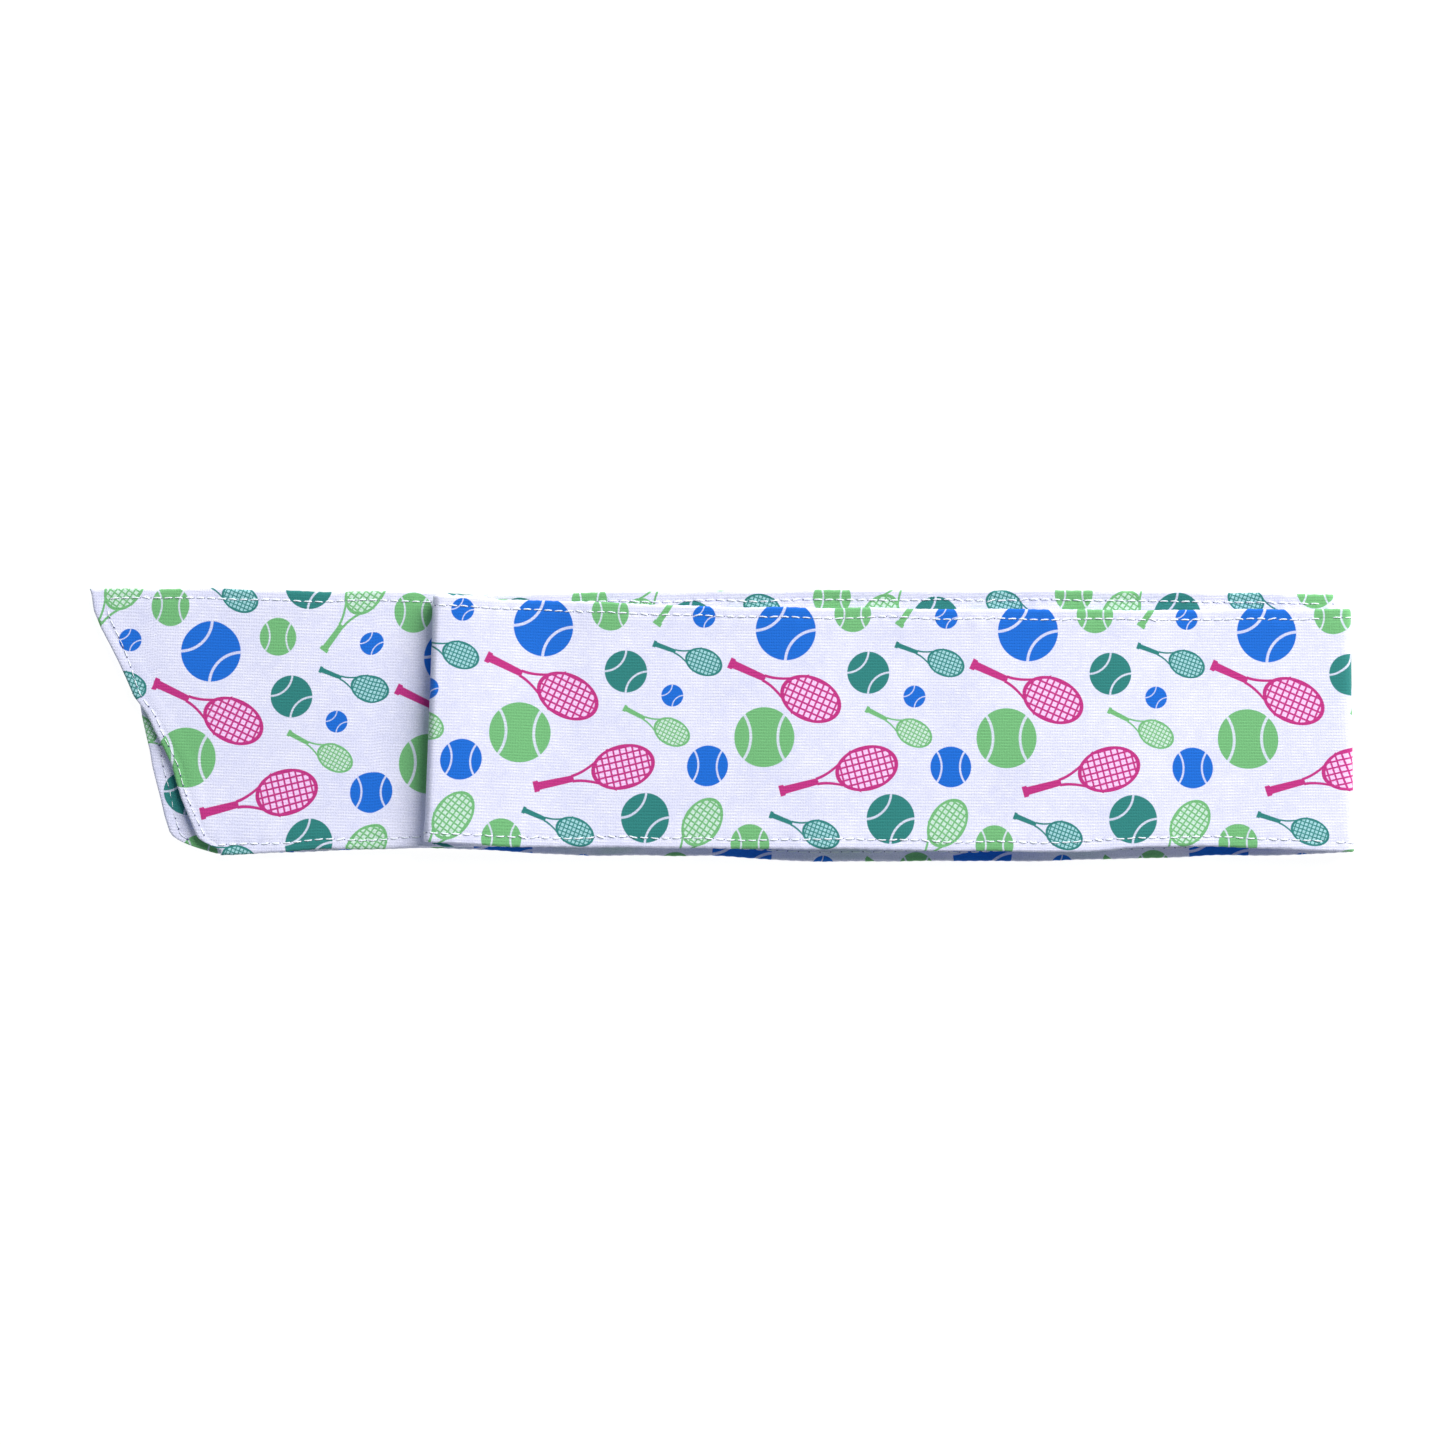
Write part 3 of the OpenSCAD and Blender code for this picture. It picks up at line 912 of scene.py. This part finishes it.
def racket_group():
    inputs = [("Point", (0.0, 0.0, 0.0)), ("Centre", (0.0, 0.0, 0.0)), ("Size", 5.0), ("Turn", 0.0)]
    tree, t, given, result = group("racket_print", inputs, ["Ink", "Wash"])
    point = motif_point(t, given)
    sharp = t.math("DIVIDE", given["Size"], EDGE_SOFT)
    x, y = t.split(point)
    off_axis = t.math("ABSOLUTE", y)

    reach = t.vector("LENGTH", t.join(x, t.math("DIVIDE", y, HEAD_RATIO)))
    off_rim = t.math("ABSOLUTE", t.math("SUBTRACT", reach, RIM[0]))
    rim = t.inside(t.math("SUBTRACT", RIM[1], off_rim), sharp)
    in_head = t.inside(t.math("SUBTRACT", RIM[0], reach), sharp)
    off_string = t.math("MINIMUM", t.math("PINGPONG", x, STRING[0]), t.math("PINGPONG", y, STRING[0]))
    strings = t.math("MULTIPLY", t.inside(t.math("SUBTRACT", STRING[1], off_string), sharp), in_head)

    from_handle = t.math("DIVIDE", t.math("SUBTRACT", x, THROAT[0]), THROAT[1], clamp=True)
    spread = t.math("MULTIPLY_ADD", t.math("POWER", from_handle, THROAT[4]), THROAT[3], THROAT[2])
    off_arm = t.math("ABSOLUTE", t.math("SUBTRACT", off_axis, spread))
    arm = t.inside(t.math("SUBTRACT", ARM_HALF, off_arm), sharp)
    past_handle = t.inside(t.math("SUBTRACT", x, THROAT[0]), sharp)
    before_rim = t.inside(t.math("SUBTRACT", THROAT[0] + THROAT[1], x), sharp)
    arms = t.math("MULTIPLY", t.math("MULTIPLY", arm, past_handle), before_rim)
    arms = t.math("MULTIPLY", arms, t.math("SUBTRACT", 1.0, in_head))

    taper = t.math("MULTIPLY_ADD", t.math("SUBTRACT", HANDLE[1], x), HANDLE[3], HANDLE[2])
    flare = t.math("MULTIPLY", t.inside(t.math("SUBTRACT", BUTT[0], x), sharp), BUTT[1])
    thick = t.inside(t.math("SUBTRACT", t.math("ADD", taper, flare), off_axis), sharp)
    from_end = t.inside(t.math("SUBTRACT", x, HANDLE[0]), sharp)
    to_throat = t.inside(t.math("SUBTRACT", HANDLE[1], x), sharp)
    handle = t.math("MULTIPLY", t.math("MULTIPLY", thick, from_end), to_throat)

    ink = t.math("MAXIMUM", t.math("MAXIMUM", rim, strings), t.math("MAXIMUM", arms, handle))
    t.link(ink, result["Ink"])
    t.link(in_head, result["Wash"])
    return tree


def print_group():
    """The whole tile: how much of each ink, and of each wash, lies at a point in mm."""
    layers = {label: [] for label in [*INK, *(f"{ink}_wash" for ink in WASH)]}
    tree, t, given, result = group("racket_and_ball_print", [("Point", (0.0, 0.0, 0.0))], list(layers))
    ball, racket = ball_group(), racket_group()
    for ink, centre, radius, (turn, reach, bend) in BALLS:
        node = t.add("ShaderNodeGroup", node_tree=ball)
        fill_motif(t, node, given, centre, radius, turn)
        node.inputs["Reach"].default_value = reach
        node.inputs["Bend"].default_value = bend
        layers[ink].append(node.outputs[0])
    for ink, handle, head, size in RACKETS:
        node = t.add("ShaderNodeGroup", node_tree=racket)
        aim = math.degrees(math.atan2(head[1] - handle[1], head[0] - handle[0]))
        fill_motif(t, node, given, head, size, -aim)
        layers[ink].append(node.outputs["Ink"])
        layers[f"{ink}_wash"].append(node.outputs["Wash"])
    for label, masks in layers.items():
        total = masks[0]
        for mask in masks[1:]:
            total = t.math("MAXIMUM", total, mask)
        t.link(total, result[label])
    return tree


def fill_motif(t, node, given, centre, size, turn):
    t.link(given["Point"], node.inputs["Point"])
    node.inputs["Centre"].default_value = (centre[0], centre[1], 0.0)
    node.inputs["Size"].default_value = size
    node.inputs["Turn"].default_value = math.radians(turn)


def new_material(name):
    """A material, its node tree and the inputs of its shader."""
    material = bpy.data.materials.new(name)
    material.use_nodes = True
    return material, Tree(material.node_tree), material.node_tree.nodes["Principled BSDF"].inputs


def cloth_material(name, printed):
    """Fine ribbed knit with soft mottling and the print on it."""
    material, t, look = new_material(name)
    uv = t.add("ShaderNodeUVMap", uv_map="strip_mm").outputs[0]
    u, v = t.split(uv)

    # Ribs run along the strip, and each is a row of small loops
    rib = t.math("SINE", t.math("MULTIPLY", v, 2 * math.pi / RIB))
    loop = t.math("SINE", t.math("MULTIPLY_ADD", u, 2 * math.pi / LOOP, t.math("MULTIPLY", rib, 0.9)))
    fibre = t.noise(uv, *FIBRE)
    mottle = t.noise(uv, *MOTTLE)
    cloud = t.noise(uv, *CLOUD)

    inks = t.add("ShaderNodeGroup", {"Point": uv}, node_tree=printed)
    patchy = t.math("MULTIPLY_ADD", mottle, 1.4, -0.75)
    tone = t.math("ADD", patchy, t.math("MULTIPLY", cloud, 1.2), clamp=True)
    colour = t.mix(tone, LAVENDER, WHITE)
    for ink, shade in WASH.items():
        colour = t.mix(inks.outputs[f"{ink}_wash"], colour, shade)
    for ink, shade in INK.items():
        colour = t.mix(inks.outputs[ink], colour, shade)
    grain = t.math("MULTIPLY_ADD", fibre, *GRAIN)
    grain = t.math("MULTIPLY_ADD", mottle, 0.06, grain)
    # How strongly the ribs show as stripes in the tone: stronger in patches of the mottle
    rib_tone = t.math("MULTIPLY_ADD", mottle, 0.05, -0.008)
    grain = t.math("ADD", grain, t.math("MULTIPLY", rib, rib_tone))
    grain = t.math("ADD", grain, t.math("MULTIPLY", loop, 0.006))
    t.link(t.toned(colour, grain), look["Base Color"])

    raised = t.math("MULTIPLY_ADD", mottle, 2.4, -0.75, clamp=True)
    relief = t.math("ADD", t.math("MULTIPLY", rib, raised), t.math("MULTIPLY", loop, 0.25))
    relief = t.math("ADD", relief, t.math("MULTIPLY", fibre, 1.2))
    t.link(t.bump(relief, 0.06 * MM), look["Normal"])
    t.link(t.math("MULTIPLY_ADD", fibre, 0.2, 0.72), look["Roughness"])
    look["Specular IOR Level"].default_value = 0.25
    look["Sheen Weight"].default_value = 0.15
    look["Sheen Roughness"].default_value = 0.5
    return material


def thread_material(name, colour):
    """Spun thread: a fine twist in its relief and faint fibre noise in its tone."""
    material, t, look = new_material(name)
    place = t.add("ShaderNodeTexCoord").outputs["Object"]
    twist = t.add("ShaderNodeTexWave", {"Vector": place, "Scale": 1500.0, "Distortion": 2.0, "Detail": 1.0},
                  bands_direction="DIAGONAL").outputs["Fac"]
    fibre = t.add("ShaderNodeTexNoise", {"Vector": place, "Scale": 5200.0, "Detail": 2.0}).outputs[0]
    tone = t.math("MULTIPLY_ADD", fibre, 0.16, 0.90)
    t.link(t.toned(colour, tone), look["Base Color"])
    t.link(t.bump(twist, 0.05 * MM), look["Normal"])
    look["Roughness"].default_value = 0.6
    look["Sheen Weight"].default_value = 0.2
    return material


def plain_material(name, colour, roughness, glow=0.0):
    material, _, look = new_material(name)
    look["Base Color"].default_value = colour
    look["Roughness"].default_value = roughness
    look["Emission Color"].default_value = (1.0, 1.0, 1.0, 1.0)
    look["Emission Strength"].default_value = glow
    return material


# ---- the strip's pieces

# In mm
LAP = 2.0                # how far a fold's piece runs past its axis

S_UNDER = s_at("lower", -40.0)
S_BROW_START = S_OUTER[1] + LAP
S_BROW_END = S_INNER[0] - LAP
S_HIDDEN = s_at("upper", 0.0)

RUNS = {
    "lower_tail": (LOWER_TAIL.middle, S_UNDER, LOWER_TAIL),
    "outer_fold": (S_UNDER, S_BROW_START, None),
    "brow": (S_BROW_START, S_BROW_END, None),
    "inner_fold": (S_BROW_END, S_HIDDEN, None),
    "upper_tail": (S_HIDDEN, UPPER_TAIL.middle, UPPER_TAIL),
}
STANDS_FOR = {
    "lower_tail": ["lower_tail"],
    "outer_fold": ["lower_side", "outer_fold"],
    "brow": ["brow_right", "centre_fold", "brow_left"],
    "inner_fold": ["inner_fold"],
    "upper_tail": ["upper_side", "upper_tail"],
}


def attach(obj, part):
    """Joins the brow's pieces to the brow's body, and bakes the other pieces' places into their meshes."""
    if part == "brow":
        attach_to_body(obj, "brow")
    elif part == "lower_tail":
        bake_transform(obj)
    elif part == "upper_tail":
        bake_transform(obj)
    elif part == "outer_fold":
        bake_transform(obj)
    else:
        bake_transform(obj)


def build_strip():
    printed = print_group()
    front = cloth_material("front_print_cloth", printed)
    back = cloth_material("back_print_cloth", printed)
    thread = thread_material("topstitch_thread", linear(248, 250, 255))
    seam_thread = thread_material("seam_thread", linear(226, 227, 232))
    # Needle holes are drawn as dark beads: painted shade for the shadow down in each hole
    hole_shade = plain_material("painted_hole_shade", linear(96, 100, 132), 0.9)
    for index, (part, run) in enumerate(RUNS.items()):
        stitches = topstitch(f"{part}_stitches", run, thread, hole_shade, 100 + 10 * index)
        made = {
            "front_cloth": (ply(f"{part}_front_ply", run, 1, front), "front_cloth"),
            "back_cloth": (ply(f"{part}_back_ply", run, -1, back), "back_cloth"),
            "topstitch": (stitches, "topstitch_thread"),
            "seam_thread": (seam(f"{part}_seam", run, seam_thread, 200 + index), "seam_thread"),
        }
        for kind, (obj, slot) in made.items():
            attach(obj, part)
            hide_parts(*[f"{node}_{kind}" for node in STANDS_FOR[part]])


# ---- floor, light and camera

FLOOR_REACH = 6.0        # in m
FLOOR_DROP = 0.02        # how far under the pack the floor lies, in mm
FLOOR_GREY = (0.12, 0.12, 0.12, 1.0)
FLOOR_GLOW = 0.95        # its own light, which makes it white while it still takes a shadow
SKY = (0.66, 0.84, 1.0, 1.0)
SKY_STRENGTH = 0.22

# Lights: name, place and size in m, power in W
LIGHTS = [
    ("key", (1.15, 1.32, 1.25), 1.8, 75.0),
    ("fill", (-0.7, -0.3, 1.0), 0.9, 0.8),
]

# Camera, in mm
LENS = 100.0
SENSOR = 36.0
SEEN = 354.0             # width of the view at the brow
AIM = (0.1, 0.6)         # x and y that the camera looks straight down at


def build_stage():
    r = FLOOR_REACH
    floor_mesh = bpy.data.meshes.new("floor")
    floor_mesh.from_pydata([(-r, -r, 0), (r, -r, 0), (r, r, 0), (-r, r, 0)], [], [(0, 1, 2, 3)])
    floor = add_object("floor", floor_mesh)
    floor.location.z = -FLOOR_DROP * MM
    floor_mesh.materials.append(plain_material("floor_white", FLOOR_GREY, 0.9, FLOOR_GLOW))


def add_area_light(name, place, size, power):
    light = bpy.data.lights.new(name, "AREA")
    light.shape = "DISK"
    light.size = size
    light.energy = power
    obj = add_object(name, light)
    obj.location = place
    direction = -obj.location
    obj.rotation_mode = "QUATERNION"
    obj.rotation_quaternion = direction.to_track_quat("-Z", "Y")


def build_light():
    world = bpy.data.worlds.new("studio")
    world.use_nodes = True
    background = world.node_tree.nodes["Background"]
    background.inputs["Color"].default_value = SKY
    background.inputs["Strength"].default_value = SKY_STRENGTH
    bpy.context.scene.world = world
    for light in LIGHTS:
        add_area_light(*light)
    bpy.context.scene.view_settings.view_transform = "Standard"


def build_camera():
    """Straight above the pack, from far enough away that the lens hardly spreads it."""
    camera = bpy.data.cameras.new("camera")
    camera.lens = LENS
    camera.sensor_width = SENSOR
    obj = add_object("camera", camera)
    top = CENTRE[1] + CENTRE[2]
    obj.location = (AIM[0] * MM, AIM[1] * MM, (SEEN * LENS / SENSOR + top) * MM)
    bpy.context.scene.camera = obj


build_strip()
build_stage()
build_light()
build_camera()
